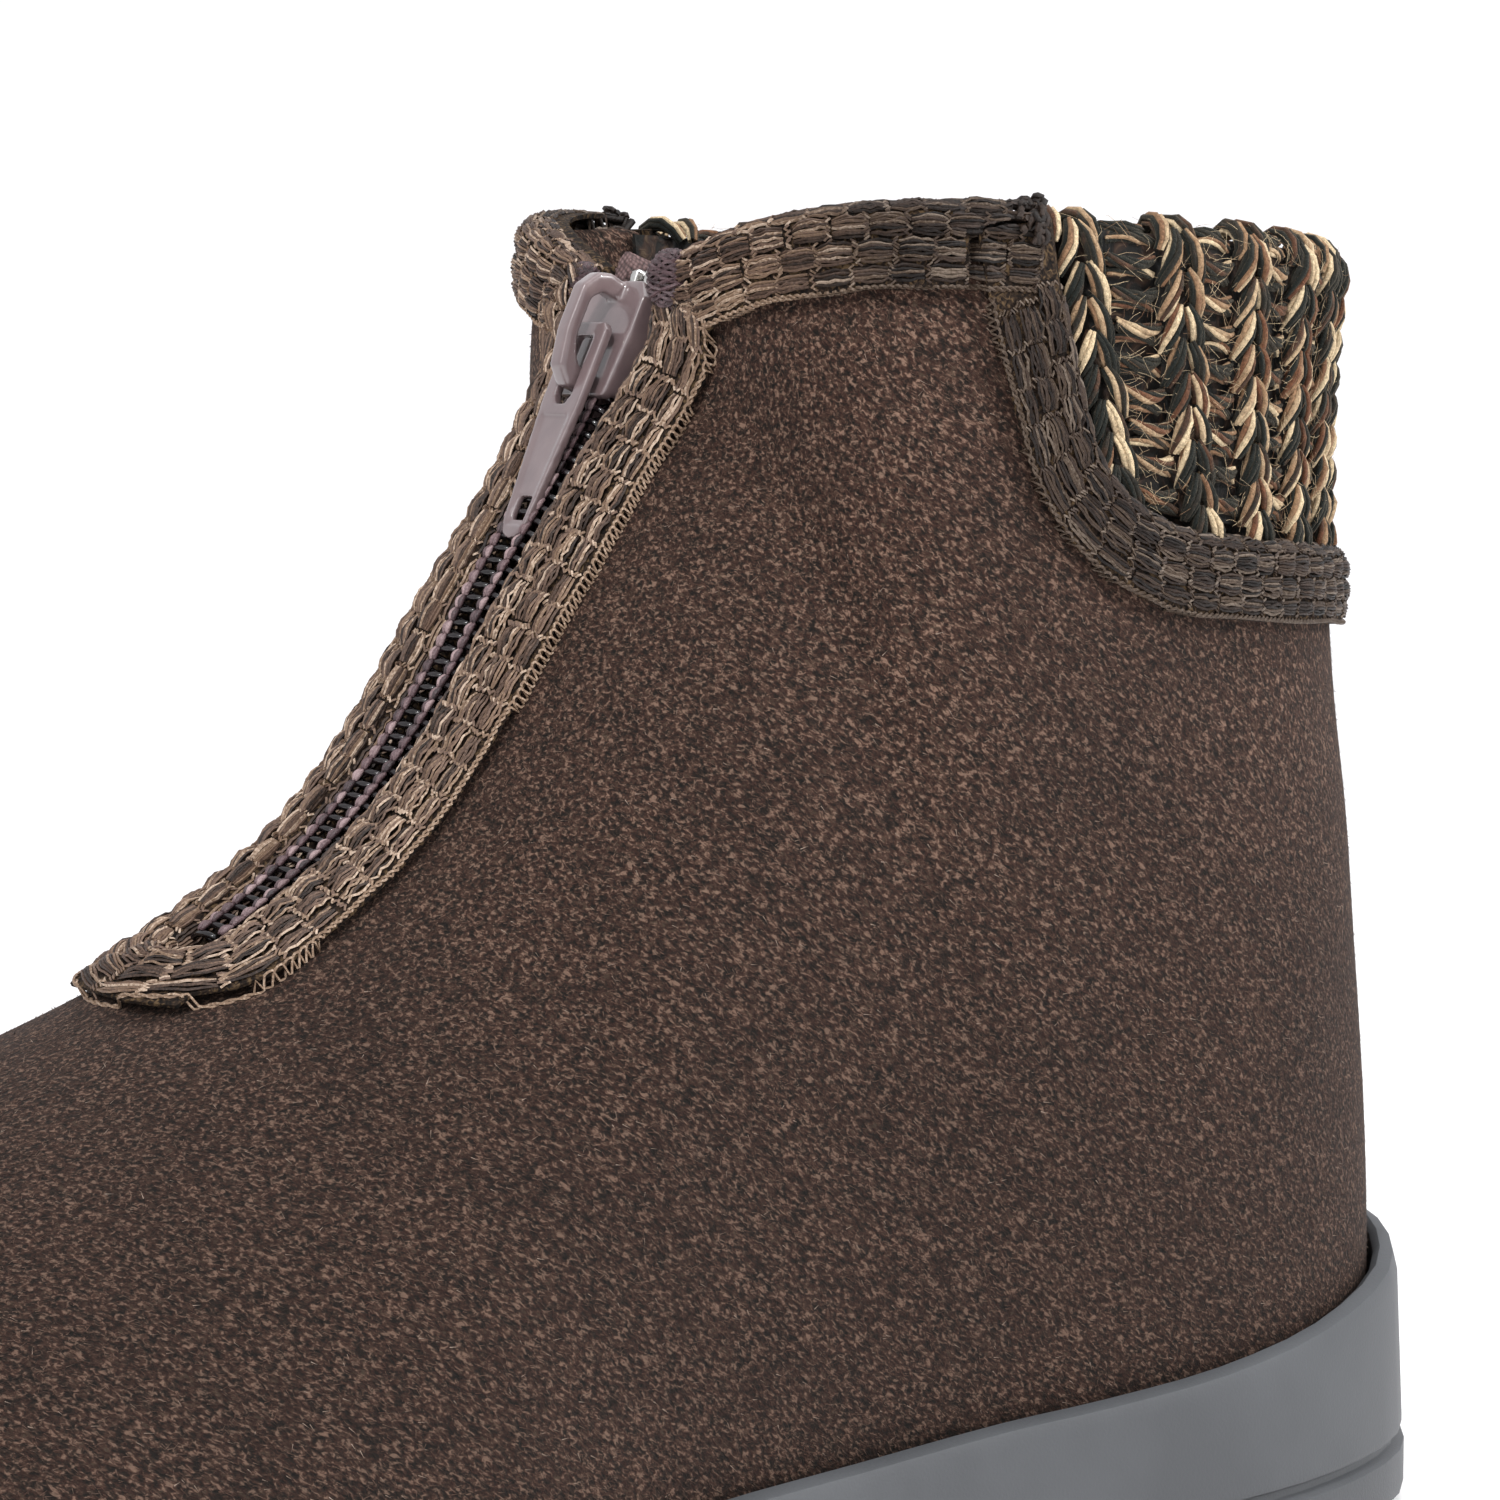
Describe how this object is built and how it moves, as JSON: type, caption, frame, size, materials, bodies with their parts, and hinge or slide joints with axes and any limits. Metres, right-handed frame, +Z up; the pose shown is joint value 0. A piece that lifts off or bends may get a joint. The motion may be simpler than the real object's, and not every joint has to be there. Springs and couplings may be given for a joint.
{
  "type": "ankle boot",
  "caption": "Felt house boot, ankle height, with a front zip, braid bindings, a rib-knit panel at the back of the collar and a moulded sole.",
  "frame": {"origin": "middle of the boot's bounding box, on the floor", "axes": "+X towards the toe, +Y towards the wearer's left, the boot's outer side, +Z up"},
  "size_m": [0.2706, 0.103, 0.1403],
  "materials": {
    "sole": "matt moulded",
    "footbed": "felted wool",
    "felt": "short napped felt",
    "knit": "rib knit of mixed yarns",
    "braid": "ribbed braid",
    "coil": "glossy monofilament",
    "zip_cloth": "woven tape",
    "silver": "bright",
    "painted_zip_metal": "satin lacquer"
  },
  "bodies": {
    "boot": {"outsole": "sole", "insole": "footbed", "upper": "felt", "knit_panel": "knit", "binding_front": "braid", "binding_knit": "braid", "zip_chain": "coil", "zip_tape_outer": "zip_cloth", "zip_tape_inner": "zip_cloth", "top_stop_outer": "silver", "top_stop_inner": "silver", "zip_slider": "painted_zip_metal"},
    "pull_tab": {"pull_tab": "painted_zip_metal"}
  },
  "joints": [
    {"name": "pull_tab_hinge", "type": "hinge", "parent": "boot", "child": "pull_tab", "pos_m": [-0.03357, 0.00163, 0.12761], "axis": [0, -1, 0], "range_deg": [0, 150]}
  ]
}
